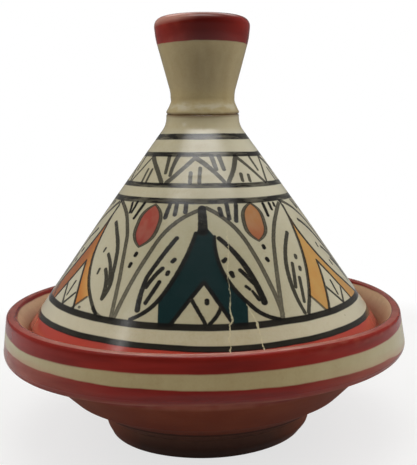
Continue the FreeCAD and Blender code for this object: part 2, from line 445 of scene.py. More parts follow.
orangeTent = {
    "black": {
        "leftEdge": ((1, 100), (-29, 165), 6.3, 2, 2.3),
        "rightEdge": ((0.5, 97), (40.5, 163), -13, 1.8, 2.3),
        "doorLeft": ((3, 138.5), (-12, 168.5), 1, 1.6, 1.8),
        "doorRight": ((3, 138.5), (20.5, 167), 0, 1.6, 1.8),
        "latticeLeft": ((-4, 154.5), (6, 167.5), 0, 1.6, 1.6),
        "latticeRight": ((13, 158.5), (6, 167.5), 0, 1.4, 1.6),
        "doorStroke": ((5.5, 152.5), (5, 161.5), 0, 1.6, 1.4),
        "leftVein": ((-10, 117.5), (-31.5, 164), -6, 2.5, 2.4),
        "leftHatchOne": ((-20, 136), (-27.5, 149), 0, 2, 2.2),
        "leftHatchTwo": ((-21, 145), (-27.5, 158.5), 0, 2, 1.8),
        "leftDotOne": ((-14.2, 132.2), (-14.8, 133.2), 0, 2.3, 2.2),
        "leftDotTwo": ((-16.2, 139.7), (-16.8, 140.7), 0, 2.3, 2),
        "rightVein": ((10, 110.5), (34.5, 139.5), 3, 2.4, 2.6),
        "rightVeinLow": ((34.5, 139.5), (38.5, 154), 1.5, 2.8, 2),
        "rightHatchOne": ((21.5, 130), (36, 144.5), 1.4, 2, 2.4),
        "rightHatchTwo": ((27, 138.5), (38, 153.5), 1.6, 2.2, 3),
        "rightDotOne": ((16, 127.5), (16, 129.5), 0, 1.6, 1.3),
        "rightDotTwo": ((22, 140), (22.5, 142.5), 0, 1.7, 1.4),
    },
    "wash": {
        "leftLeafTop": ((-2, 98), (-25, 121.5), -1.6, 2.2, 2.2),
        "leftLeafLow": ((-25, 121.5), (-46.5, 161.5), -0.4, 2.2, 2.4),
        "rightLeafTop": ((0, 96), (27, 115.5), 2.7, 2, 2.2),
        "rightLeafLow": ((27, 115.5), (52.2, 161), 0.6, 2.2, 2.2),
        "leftHem": ((-21, 157), (-15, 167.5), 0, 1.2, 1.4),
        "rightFoot": ((36, 161), (46, 163), -0.8, 2.2, 1.6),
    },
    "leftPanelOnly": {
        "rightHem": ((26, 157.5), (18.5, 167), 0, 1.2, 1.4),
        "hemDot": ((24.5, 164.5), (25.5, 164.5), 0, 1.2, 1.2),
    },
    "ends": (((-10, 103), (10, 103), -1),),
}

zigzag = {
    "black": {
        "firstLeft": ((-33, 55), (-51, 64), 0, 1.4, 1.6),
        "firstRight": ((-33, 55), (-25, 78), 0, 2.9, 2.4),
        "secondLeft": ((-4.5, 64.5), (-21.5, 79), 0.8, 2.2, 2.9),
        "secondRight": ((-4.5, 64.5), (12.5, 80.5), 0.6, 2.9, 2.2),
        "thirdLeft": ((20, 61), (15, 81), 0.8, 3, 2.2),
        "thirdRight": ((20, 61), (40.5, 72), 0, 2, 2),
        "fringeOne": ((-20.5, 60.5), (-22.5, 72), 0, 2.4, 1.9),
        "fringeTwo": ((-14.5, 62), (-19.5, 74.5), -0.6, 2.8, 1.9),
        "fringeThree": ((5, 63.5), (8, 72.5), 0, 2.6, 2.1),
        "fringeFour": ((9.5, 63), (12.5, 72), 0, 2.6, 2.1),
        "fringeFive": ((30.5, 57), (36, 64.5), 0, 1.8, 1.6),
        "fringeSix": ((34, 55), (40.5, 62.5), 0, 1.6, 1.4),
        "grassOne": ((-7, 75), (-7.5, 82), 0, 2, 2),
        "grassTwo": ((-1.5, 72), (-2, 82), 0, 2, 2),
        "grassThree": ((23, 73), (24, 77.5), 0, 2, 1.8),
        "grassFour": ((28, 72), (29, 76), 0, 1.8, 1.8),
        "grassFive": ((-36, 64), (-40, 72), 0, 1.6, 1.6),
        "grassSix": ((-32.5, 66), (-36.5, 74), 0, 1.6, 1.6),
    },
}

lidPaint = {
    "pointHeight": 227.6,  # where the cone's sides would meet
    "slope": 0.7062,
    "hem": (78.1, 81.0),
    "hemDip": (1.7, 0.14, 0.45),  # how much lower the hem line runs at the front, where and how far round
    "base": (88.5, 91.8),
    "baseDip": 2.3,
    "rings": {  # heights of the other wheel-drawn lines
        "frieze": (148.9, 152.0),
        "zigzagLow": (157.6, 160.3),
        "zigzagHigh": (175.2, 178.0),
        "collar": (185.3, 188.9),
    },
    "ink": paint(18, 16, 13),
    "washInk": paint(56, 51, 40),
    "filler": paint(204, 194, 156),
    "hemRed": paint(192, 75, 58),
    "filmAndShade": paint(150, 144, 108),  # thin brushed glaze over the painted frieze, laid on heaviest at the front middle as painted shade
    "teal": paint(12, 40, 40),
    "ochre": paint(194, 147, 70),
    "sienna": paint(192, 114, 28),
    "rust": paint(154, 76, 24),
    "amber": paint(216, 172, 92),
    "redAlmond": {
        "middle": (-32.5, 106), "lean": (-9.5, 26.5), "long": 14, "wide": 7.2,
        "colour": paint(158, 58, 46), "foot": paint(148, 44, 40),
    },
    "orangeAlmond": {
        "middle": (30, 104.5), "lean": (4.5, 24.5), "long": 12.5, "wide": 6.6,
        "colour": paint(172, 114, 64), "foot": paint(160, 84, 48),
    },
    "soft": 0.45,  # soft edge of a stroke
    "friezeFill": (90.0, 150.2),
    "zigzagFill": (158.6, 176.6),
    "shakeSize": 14,  # the unsteady hand, worse behind
    "shakeFront": 0.5,
    "shakeBehind": 2.6,
    "rightTurn": math.radians(5.9),  # the side panels aren't quite a third round
    "leftTurn": math.radians(2.2),
    "zigzagRun": (math.radians(52.5), math.radians(-67.5)),
    "sway": 0.9,  # how far a wheel-drawn line wanders
    "hemShare": 0.62,
    "uneven": 0.16,  # of the roughness
    "pinhole": {"pitch": 0.07, "size": 0.026, "soft": 0.008},
    "shadeMiddle": (48.0, 50.0),  # from here on, a level and its soft edge
    # levels for the painted light that makes the lid's upper right and its sides paler
    "litHigh": (140.0, 40.0),
    "litRight": (12.0, 50.0),
    "litSides": (58.0, 60.0),
    "tentDark": (3.0, 14.0),
    "tentPaleEdge": (-3.0, 8.0),
    "tentPaleLow": (140.0, 24.0),
    "almondFoot": (9.0, 14.0),  # below the almond's middle
    "washLow": (140.0, 50.0),
    "skipAndSheenHigh": (120.0, 60.0),
    "butterHigh": (191.0, 4.0),
    "seamStain": (-1.0, 1.8),
}

cracks = {  # mended, at the front only
    "oneTop": ((13.3, 112.4), (14.2, 125.2), 0, 0.3, 0.4),
    "oneHigh": ((14.2, 125.2), (13.3, 142.7), 0, 0.4, 0.5),
    "oneMiddle": ((13.3, 142.7), (14.4, 153.1), 0.3, 0.6, 0.7),
    "oneLow": ((14.4, 153.1), (14.4, 162.1), 0, 0.7, 0.6),
    "oneKink": ((14.4, 162.1), (15.3, 167.3), 0, 0.7, 0.7),
    "oneFoot": ((15.3, 167.3), (14, 171.6), 0, 0.6, 0.6),
    "oneEnd": ((14, 171.6), (14.6, 187), -0.4, 0.6, 0.5),
    "twoTop": ((23.6, 157), (25.2, 161), 0, 0.4, 0.5),
    "twoHigh": ((25.2, 161), (29, 167), 0, 0.6, 0.7),
    "twoMiddle": ((29, 167), (30, 174), 0.4, 0.7, 0.6),
    "twoLow": ((30, 174), (32.4, 182.5), 0, 0.6, 0.5),
}


class Edge:
    # a bowed line from start to end; gives the distance to its side and the share gone along it
    def __init__(self, sheet, start, end, bow):
        (x0, y0), (x1, y1) = start, end
        self.length = math.hypot(x1 - x0, y1 - y0)
        ux, uy = (x1 - x0) / self.length, (y1 - y0) / self.length
        self.along = sheet.dot((ux, uy, -(x0 * ux + y0 * uy)))
        self.side = sheet.dot((uy, -ux, -(x0 * uy - y0 * ux)))
        self.share = (self.along * (1 / self.length)).kept()
        if bow:
            self.side = (self.share * (1 - self.share)).plus(-4.0 * bow, self.side)


def strokeDepth(sheet, stroke):
    # how far a spot lies inside a brush stroke, in millimetres; below 0 outside it
    start, end, bow, width, endWidth = stroke
    edge = Edge(sheet, start, end, bow)
    beyond = edge.share.plus(-edge.length, edge.along)
    away = (edge.side * edge.side).plus(1.0, beyond * beyond).root()
    if width == endWidth:
        return width / 2 - away
    return edge.share.plus((endWidth - width) / 2, width / 2 - away)


def strokesDepth(sheet, strokes):
    deepest = None
    for stroke in strokes.values():
        depth = strokeDepth(sheet, stroke)
        deepest = depth if deepest is None else deepest.most(depth)
    return deepest


def almondDepth(sheet, almond):
    (x, y), (leanX, leanY) = almond["middle"], almond["lean"]
    length = math.hypot(leanX, leanY)
    ux, uy = leanX / length, leanY / length
    along = sheet.dot((ux, uy, -(x * ux + y * uy)))
    side = sheet.dot((uy, -ux, -(x * uy - y * ux)))
    fullness = along * along * abs(along)
    return fullness.plus(-almond["wide"] / almond["long"] ** 3, almond["wide"]) - abs(side)


def tentDepth(sheet, tent):
    # inside both edges, outside the door and short of the ends
    strokes = tent["black"]
    left = Edge(sheet, *strokes["leftEdge"][:3]).side
    right = -Edge(sheet, *strokes["rightEdge"][:3]).side
    doorLeft = -Edge(sheet, *strokes["doorLeft"][:3]).side
    doorRight = Edge(sheet, *strokes["doorRight"][:3]).side
    depth = left.least(right).least(doorLeft.most(doorRight))
    for start, end, keep in tent["ends"]:
        depth = depth.least(Edge(sheet, start, end, 0).side * keep)
    return depth


def lidGlaze():
    finish = Finish("lidGlaze", specular=glaze["lidSpecular"])
    spot, x, y, z = finish.spot, finish.x, finish.y, finish.z
    soft = lidPaint["soft"]
    lean = math.atan(lidPaint["slope"])
    colour = creamGlaze(finish, glaze["cream"], glaze["lidWarmth"])

    # the cone laid out flat, with the unsteadiness of a hand
    turn = x.sum("ARCTAN2", x, -y)
    down = (lidPaint["pointHeight"] - z) / math.cos(lean)
    shake = spot.cloud(lidPaint["shakeSize"], 1)
    shakeToo = spot.shifted((71.0, 13.0, 5.0)).cloud(lidPaint["shakeSize"], 1)
    behind = y.above(0.0, 120.0) * lidPaint["shakeBehind"] + lidPaint["shakeFront"]
    shiftX = (shake - 0.5) * behind
    shiftY = (shakeToo - 0.5) * behind

    def laidOut(angle):
        around = angle * math.sin(lean)
        flatX = (down * around.sum("SINE", around)) + shiftX
        flatY = (down * around.sum("COSINE", around)) + shiftY
        return vector(flatX, flatY, 1.0)

    tealSheet = laidOut(turn.sum("WRAP", turn, halfPanel, -halfPanel))
    rightPanel = turn.above(0.0, 0.001) * turn.below(2 * halfPanel, 0.001)
    leftPanel = turn.below(0.0, 0.001) * turn.above(-2 * halfPanel, 0.001)
    turnedOn = turn + rightPanel * lidPaint["rightTurn"] + leftPanel * lidPaint["leftTurn"]
    orangeSheet = laidOut(turn.sum("WRAP", turnedOn - halfPanel, halfPanel, -halfPanel))
    zigzagSheet = laidOut(turn.sum("WRAP", turn, *lidPaint["zigzagRun"]))

    aside = x * (1 / lidHigh.x)
    baseLevel = (1.0 - aside * aside).plus(lidPaint["baseDip"], z)
    friezeLow, friezeHigh = lidPaint["friezeFill"]
    inFrieze = baseLevel.above(friezeLow, 0.6) * z.below(friezeHigh, 0.6)
    inZigzag = z.within(*lidPaint["zigzagFill"], 0.6)
    # painted shade: the film darkens the frieze most at the front middle
    colour = colour.under(lidPaint["filmAndShade"], inFrieze * abs(x).below(*lidPaint["shadeMiddle"]).plus(0.22, 0.08))
    # painted light: the lid's upper right and both sides made paler, as where the lamps fall
    litRight = z.above(*lidPaint["litHigh"]) * x.above(*lidPaint["litRight"])
    pale = (litRight * 0.75).most(abs(x).above(*lidPaint["litSides"]) * 0.6)
    colour = colour.under(glaze["paleCream"], pale)

    # fills
    tealMask = tentDepth(tealSheet, tealTent).above(0.0, soft) * inFrieze
    orange = tentDepth(orangeSheet, orangeTent)
    leftHem = Edge(orangeSheet, *orangeTent["wash"]["leftHem"][:3]).side
    rightHem = -Edge(orangeSheet, *orangeTent["leftPanelOnly"]["rightHem"][:3]).side
    orange = orange.least(leftPanel.plus(99.0, leftHem)).least(rightPanel.plus(99.0, rightHem))
    orangeMask = orange.above(0.0, soft) * inFrieze
    streak = spot.cloud(7, 2, (1, 1, 0.35))
    darkSide = orangeSheet.dot((1, 0, 0)).below(*lidPaint["tentDark"]) * leftPanel
    browner = leftPanel.most(streak.above(0.52, 0.4) * 0.4)
    tentColour = browner.between(lidPaint["ochre"], lidPaint["sienna"])
    tentColour = tentColour.under(lidPaint["rust"], darkSide * 0.85)
    rightEdge = Edge(orangeSheet, *orangeTent["black"]["rightEdge"][:3])
    paleSide = rightEdge.side.above(*lidPaint["tentPaleEdge"]) * leftPanel
    paleSide = paleSide * orangeSheet.dot((0, 1, 0)).above(*lidPaint["tentPaleLow"])
    tentColour = tentColour.under(lidPaint["amber"], paleSide * 0.75)
    colour = colour.under(tentColour, orangeMask * 0.92)
    colour = colour.under(lidPaint["teal"], tealMask)
    outline = None
    footLevel, footSoft = lidPaint["almondFoot"]
    for almond in (lidPaint["redAlmond"], lidPaint["orangeAlmond"]):
        depth = almondDepth(tealSheet, almond)
        washed = streak.plus(0.5, 0.65)
        lowPart = down.above(almond["middle"][1] + footLevel, footSoft)
        tone = lowPart.between(almond["colour"], almond["foot"])
        colour = colour.under(tone, (depth.above(0.6, soft) * inFrieze * washed).least(0.95))
        ring = 1.0 - abs(depth)
        outline = ring if outline is None else outline.most(ring)

    # watery outlines, darker along their edges, then the black strokes
    bristle = spot.cloud(1.5, 1)
    ragged = (bristle - 0.5) * 0.9
    wash = strokesDepth(tealSheet, tealTent["wash"]).most(strokesDepth(orangeSheet, orangeTent["wash"]))
    wash = wash.most(leftPanel.plus(9.0, strokesDepth(orangeSheet, orangeTent["leftPanelOnly"]) - 9.0))
    wash = wash.most(outline)
    washMask = (wash + ragged * 0.5).above(-0.25, soft) * inFrieze
    paleBy = wash.above(0.75, 0.9) * 0.07 + bristle.above(0.55, 0.3) * 0.08
    paleBy = paleBy + down.above(*lidPaint["washLow"]) * 0.12
    colour = colour.under(lidPaint["washInk"], washMask * (0.97 - paleBy))

    black = strokesDepth(tealSheet, tealTent["black"]) + ragged * 0.5
    blackMask = black.above(-0.2, soft) * inFrieze
    black = strokesDepth(orangeSheet, orangeTent["black"]) + ragged * 0.5
    blackMask = blackMask.most(black.above(-0.2, soft) * inFrieze * 0.93)
    zig = strokesDepth(zigzagSheet, zigzag["black"])
    zigMask = (zig + ragged * 0.5).above(-0.2, soft) * inZigzag * 0.88
    dry = 0.99 - bristle.above(0.62, 0.25) * 0.05
    colour = colour.under(lidPaint["ink"], blackMask.most(zigMask) * dry)
    jag = (spot.cloud(3.0, 1) - 0.5) * 2.5
    cracked = strokesDepth(tealSheet.shifted(vector(jag, 0.0, 0.0)), cracks) + ragged * 0.5
    crackMask = cracked.above(0.0, 0.3) * turn.within(-halfPanel, halfPanel, 0.01)
    crackMask = crackMask * spot.cloud(3.4, 1).above(0.42, 0.2).most(0.25)

    # lines drawn on the turning wheel
    sway = spot.cloud(30, 2) - 0.5
    level = z + sway * lidPaint["sway"]
    dip, way, spread = lidPaint["hemDip"]
    off = (turn - way) * (1 / spread)
    lowered = level + dip / (off * off + 1.0)
    lines = lowered.within(*lidPaint["hem"], soft)
    baseLine = (baseLevel + sway * lidPaint["sway"]).within(*lidPaint["base"], soft)
    lines = lines.most(baseLine)
    for low, high in lidPaint["rings"].values():
        lines = lines.most(level.within(low, high, soft))
    skipped = spot.cloud(6, 2, (0.5, 0.5, 3)).above(0.58, 0.3)
    hemRed = redGlaze(finish).under(lidPaint["hemRed"], lidPaint["hemShare"])
    colour = colour.under(hemRed, lowered.below(lidPaint["hem"][0] + 0.5, soft))
    # brush skips grey the wheel-drawn lines; the extra grey on the upper lid is a painted sheen
    thinAndSheen = skipped * (z.above(*lidPaint["skipAndSheenHigh"]) * 0.22 + 0.02)
    colour = colour.under(lidPaint["ink"], lines * (0.98 - thinAndSheen))
    colour = colour.under(lidPaint["filler"], crackMask * 0.85)
    pinhole = lidPaint["pinhole"]
    holes = spot.node("ShaderNodeTexVoronoi", {}, {"Vector": spot, "Scale": pinhole["pitch"]})
    colour = colour.under(lidPaint["ink"], holes.below(pinhole["size"], pinhole["soft"]) * 0.8)
    colour = colour.under(glaze["butter"], z.above(*lidPaint["butterHigh"]) * 0.5)
    stained = (seamLevel(finish) + sway * 1.6).above(*lidPaint["seamStain"])
    colour = colour.under(glaze["stain"], stained * 0.8)

    uneven = lidPaint["uneven"]
    finish.wear("Roughness", spot.cloud(20, 2) * uneven + (glaze["roughness"] - uneven / 2))
    print("painted lidGlaze", len(finish.tree.nodes), "nodes")
    return glazed(finish, colour)


def seamLevel(finish):
    # height above the seam of the lid and its neck, which dips at the front
    dip = (finish.y * (-1 / neck["coil"])).most(0.0) * neck["dip"]
    return finish.z - (coilLow.z + neck["lift"]) + dip


knobPaint = {  # heights of the bands
    "streaks": (217.0, 237.0), "redLow": 243.4, "thinAndSheenLow": 257.0, "cupRedLow": 252.5, "cupDarkLow": 226.0,
    "litLeft": (-10.0, 14.0), "sheenLeft": (-6.0, 20.0),  # a level and its soft edge, for the painted light and painted highlight on the left
}
neckPaint = {"stain": (0.9, 1.6), "pale": (2.5, 7.0), "waistDark": (7.2, 9.8)}  # heights above the seam


def knobGlaze():
    finish = Finish("knobGlaze")
    colour = creamGlaze(finish, glaze["butter"])
    sway = finish.spot.cloud(18, 2) - 0.5
    level = finish.z + sway * 1.2
    # painted shade: the knob's front is darkened, olive streaks on the cream (partly the glaze's own) and
    # oxblood on the red
    front = (finish.y * (-1 / knob["lip"])).kept()
    streaks = finish.spot.cloud(6, 1, (1, 1, 0.1)).above(0.5, 0.7)
    streaks = streaks * front * finish.z.within(*knobPaint["streaks"], 9.0)
    colour = colour.under(glaze["olive"], streaks * 0.5)
    red = redGlaze(finish).under(glaze["oxblood"], front * front * front * front * 0.8)
    # painted light: a brighter brick red in patches on the knob's left
    litPatch = finish.x.below(*knobPaint["litLeft"]) * finish.spot.cloud(9, 2).above(0.45, 0.5)
    red = red.under(glaze["brick"], litPatch * 0.6)
    # glaze worn thin on the lip's bevel, with a painted highlight there that is strongest on the left
    thinnedAndLit = finish.spot.cloud(7, 2, (0.4, 0.4, 1)).plus(0.8, 0.3)
    thinnedAndLit = thinnedAndLit * finish.x.below(*knobPaint["sheenLeft"]).most(0.3)
    thinAndSheen = finish.x.plus(-0.08, level).above(knobPaint["thinAndSheenLow"], 3.0)
    red = red.under(glaze["palePink"], thinAndSheen * thinnedAndLit)
    colour = colour.under(red, level.above(knobPaint["redLow"], 0.6))
    return glazed(finish, colour)


def cupGlaze():
    finish = Finish("cupGlaze")
    colour = creamGlaze(finish, glaze["butter"])
    sway = finish.spot.cloud(18, 2) - 0.5
    level = finish.z + sway * 3
    # darker towards the bottom of the cup
    colour = colour.under(glaze["stain"], level.below(knobPaint["cupDarkLow"], 14) * 0.6)
    colour = colour.under(redGlaze(finish), level.above(knobPaint["cupRedLow"], 0.8))
    return glazed(finish, colour)


def neckGlaze():
    finish = Finish("neckGlaze")
    colour = creamGlaze(finish, glaze["butter"])
    sway = finish.spot.cloud(9, 2) - 0.5
    level = seamLevel(finish) + sway * 1.4
    colour = colour.under(glaze["stain"], level.below(*neckPaint["stain"]) * 0.85)
    # painted highlight: pale patches on the coil's bulge
    highlightPatches = finish.spot.cloud(5, 2, (0.7, 0.7, 1.4)).above(0.5, 0.25)
    colour = colour.under(glaze["paleCream"], highlightPatches * level.within(*neckPaint["pale"], 3.0) * 0.5)
    # darker brown band where the coil narrows to its waist
    waistDark = finish.spot.cloud(12, 2, (0.6, 0.6, 2)).above(0.6, 0.25)
    colour = colour.under(glaze["stain"], waistDark * level.within(*neckPaint["waistDark"], 2.0) * 0.4)
    return glazed(finish, colour)


dishPaint = {  # heights of the bands
    "lipRed": 70.8, "creamLow": 62.9, "creamTilt": 2.4, "redLow": 45.5, "slipHigh": 18.7,
    "endRise": 2.2, "endDrop": 2.4,  # the cream band widens at the ends
    "frontGlint": (44.5, 55.0), "pinkEdge": 64.5, "glossLow": 56.0, "clayHigh": 45.0, "scuffLow": 75.5,
    "rimBrownLow": 73.5, "rimRed": 79.7, "wellStain": 32.0,
    "sheenSides": (82.0, 70.0), "ends": (113.0, 18.0), "rightEnd": (112.0, 16.0),  # a level and its soft edge
    "front": (-98.0, 14.0), "sheenFront": (-70.0, 70.0), "scuffRight": (70.0, 80.0),
    "clayRoughness": 0.62, "glossier": -0.4,
}


def dishGlaze():
    finish = Finish("dishGlaze", specular=glaze["dishSpecular"])
    spot, x, y, z = finish.spot, finish.x, finish.y, finish.z
    sway = spot.cloud(45, 2) - 0.5
    brush = spot.cloud(7, 2, (0.35, 0.35, 2)) - 0.5
    level = z + sway * 0.9
    lowEdge = level + brush * 3.2
    clay = (spot.cloud(24, 3).above(0.5, 0.4) * 0.7).between(glaze["clay"], glaze["palerClay"])
    clay = clay.under(glaze["footDark"], level.below(dishPaint["slipHigh"], 0.8) * 0.85)
    covered = lowEdge.above(dishPaint["redLow"], 1.6)
    colour = clay.under(redGlaze(finish), covered)
    # painted sheen: both sides of the dish paler, the red pinker and the butter whiter
    sideSheen = abs(x).above(*dishPaint["sheenSides"])
    paleBy = spot.cloud(8, 2, (0.3, 0.3, 2)).above(0.46, 0.5)
    colour = colour.under(glaze["pink"], covered * sideSheen * (paleBy * 0.4 + 0.16))
    # painted reflection: a thin pale pink line along the belly's lower edge at the front, where the glaze
    # mirrors the floor
    front = y.below(*dishPaint["front"]) * spot.cloud(11, 1, (1, 1, 0.3)).above(0.4, 0.3)
    colour = colour.under(glaze["pink"], front * level.within(*dishPaint["frontGlint"], 2.0) * 0.5)
    creamLevel = x.plus(dishPaint["creamTilt"] / dishHigh.x, level) + brush * 1.1
    creamLevel = x.above(*dishPaint["rightEnd"]).plus(dishPaint["endDrop"], creamLevel)
    butter = creamGlaze(finish, glaze["butter"]).under(glaze["cream"], sideSheen * 0.6)
    # painted sheen: pink along the cream band's lower edge at the sides
    sheenBlush = creamLevel.below(dishPaint["pinkEdge"], 6.0) * sideSheen * paleBy
    butter = butter.under(glaze["pink"], sheenBlush * 0.7)
    colour = colour.under(butter, creamLevel.above(dishPaint["creamLow"], 0.7))
    lipLevel = abs(x).above(*dishPaint["ends"]).plus(-dishPaint["endRise"], level + brush * 0.6)
    colour = colour.under(redGlaze(finish), lipLevel.above(dishPaint["lipRed"], 0.8))
    scuffed = spot.cloud(9, 3, (0.6, 0.6, 1.4)).above(0.6, 0.2) * x.above(*dishPaint["scuffRight"])
    colour = colour.under(glaze["pink"], scuffed * level.above(dishPaint["scuffLow"], 5.0) * 0.4)
    finish.wear("Base Color", colour)
    gloss = z.above(dishPaint["glossLow"], 3.0) * dishPaint["glossier"]
    finish.wear("Roughness", gloss + dishPaint["clayRoughness"])
    grain = spot.cloud(1.1, 3)
    peel = spot.cloud(2.2, 1)
    runs = spot.cloud(9, 2, (1, 1, 0.2))
    grain = grain * z.below(dishPaint["clayHigh"], 12.0)
    finish.relief(grain * 0.10 + peel * 0.02 + runs * 0.07)
    return finish.material


def rimGlaze():
    finish = Finish("rimGlaze")
    spot, z = finish.spot, finish.z
    sway = spot.cloud(26, 2) - 0.5
    level = z + sway * 1.2
    # the peach is lighter than the butter partly as painted light, for the shaded groove inside the rim
    colour = creamGlaze(finish, glaze["peach"], glaze["rimWarmth"])
    # browner down the inside of the rim towards the seat
    colour = colour.under(glaze["clay"], level.below(dishPaint["rimBrownLow"], 7) * 0.6)
    colour = colour.under(redGlaze(finish), level.above(dishPaint["rimRed"], 0.8))
    return glazed(finish, colour)


def crestGlaze():
    # red, worn pale along the rim's crest, with a painted highlight that grows towards the front
    finish = Finish("crestGlaze")
    thinAndSheen = finish.spot.cloud(12, 3).plus(0.9, 0.05)
    # painted highlight: stronger towards the front
    thinAndSheen = thinAndSheen * finish.y.below(*dishPaint["sheenFront"]).most(0.55)
    finish.wear("Base Color", redGlaze(finish).under(glaze["palePink"], thinAndSheen * 0.7))
    finish.relief(finish.spot.cloud(9, 2) * 0.05)
    return finish.material


def wellGlaze():
    finish = Finish("wellGlaze")
    colour = creamGlaze(finish, glaze["butter"])
    pool = finish.spot.cloud(30, 3)
    pooled = finish.z.below(dishPaint["wellStain"], 14) * pool.above(0.45, 0.5)
    colour = colour.under(glaze["stain"], pooled * 0.45)
    return glazed(finish, colour)


# Pieces

lidLean = {"degrees": 1.05, "trim": 0.6}  # the lid sits a little crooked in its seat
leanSlope = math.tan(math.radians(lidLean["degrees"]))
bareClay = clayFinish()


def leaned(piece):
    centre = Vector((0, 0, seatHeight * mm))
    tilt = Matrix.Rotation(math.radians(lidLean["degrees"]), 4, "Y")
    piece.matrix_world = Matrix.Translation(centre) @ tilt @ Matrix.Translation(-centre)


def put(piece, body, node):
    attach(piece, body)
    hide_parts(node)


foot = {
    "holeInset": 15.0, "flare": 4.3, "round": 1.6,
    "groove": 12.6, "grooveDepth": 0.5, "grooveRound": 0.5, "grooveBelow": 1.2, "grooveAbove": 0.9,
    "joinFlare": 2.0,  # smeared out into the bowl
    "belly": 1.9, "rightBelly": 0.8, "bellyHigh": 13.0,
    "skin": 3.0,  # only this much of the wall is swelled
    "slipHigh": 11.0, "litSides": (50.0, 24.0),
}


def footGlaze():
    # dark slip, darker towards the bottom, and paler at both sides as painted light
    finish = Finish("footSlip", glaze["slipRoughness"], glaze["claySpecular"])
    grain = finish.spot.cloud(1.1, 3)
    patch = finish.spot.cloud(16, 3, (1, 1, 0.5)).above(0.5, 0.5)
    shown = finish.z.above(foot["slipHigh"], 9.0) * (patch * 0.4 + 0.6)
    tint = shown.between(glaze["footDark"], glaze["foot"])
    # painted light: the foot paler at both sides
    tint = tint.under(glaze["palerClay"], abs(finish.x).above(*foot["litSides"]) * 0.8)
    finish.wear("Base Color", tint.under(glaze["footDark"], grain.above(0.62, 0.2) * 0.35))
    finish.relief(grain * 0.06 + finish.spot.cloud(4, 2, (0.3, 0.3, 1.6)) * 0.10)
    return finish.material


def makeFoot():
    top, base = footHigh.x, footHigh.x - foot["flare"]
    hole = base - foot["holeInset"]

    def wall(height):
        return base + foot["flare"] * height / footHigh.z

    def shape(spot, r, zone):
        if r < base - foot["skin"]:
            return Vector((spot.x, spot.y, max(spot.z, 0.0)))
        rise = max(0.0, spot.z)
        belly = foot["belly"] + foot["rightBelly"] * spot.x / r
        belly *= math.sin(math.pi * min(1.0, rise / foot["bellyHigh"])) ** 2
        wider = 1.0 + (belly + foot["joinFlare"] * (rise / footHigh.z) ** 3) / r
        return Vector((spot.x * wider, spot.y * wider, rise))

    groove, soft = foot["groove"], foot["grooveRound"]
    below, above = groove - foot["grooveBelow"], groove + foot["grooveAbove"]
    piece = turned("footRing", [
        (hole, 0.0, foot["round"], "clay"),
        (base, 0.0, foot["round"], "clay"),
        (wall(below), below, soft, "clay"),
        (wall(groove) - foot["grooveDepth"], groove, soft, "clay"),
        (wall(above), above, soft, "clay"),
        (top, footHigh.z, 0, "clay"),
        (hole, footHigh.z, 0, "clay"),
    ], {"clay": footGlaze()}, shape=shape)
    put(piece, "base", "foot_ring")


dish = {
    "foot": 70.6, "heel": (71.4, 18.2), "bowlEdge": (86.3, 26.8),
    "step": (107.5, 47.6), "belly": (128.2, 55.7),
    "lip": 124.6, "lipInner": 119.4, "lipRound": 2.5,
    "seatOuter": 112.0, "seatInner": 100.0, "wellSide": (97.5, 57.6), "wellFloor": (76.3, 27.0),
    "heelRound": 0.6, "edgeRound": 4.0, "stepRound": 8.0, "bellyRound": 6.0,
    "seatRound": 2.0, "wellRound": 18.0,
    "rimLift": 1.8, "frontDip": 2.5,  # the rim warped in firing
    "rightDip": 3.0, "rightWay": math.radians(72),
    "leanFade": 20.0,  # the seat leans with the lid, and the well's floor doesn't
    "bellyDip": 1.1, "bellySkew": 0.5, "bellyMiddle": 54.0, "bellyReach": 20.0,
    "frontRise": 2.1, "frontReach": math.radians(20),
    "bowlSwell": 1.3, "bowlSkew": 0.6, "bowlMiddle": 30.0, "bowlReach": 20.0,  # most at the right
    "heelSpread": 1.0, "heelReach": 8.0,
}


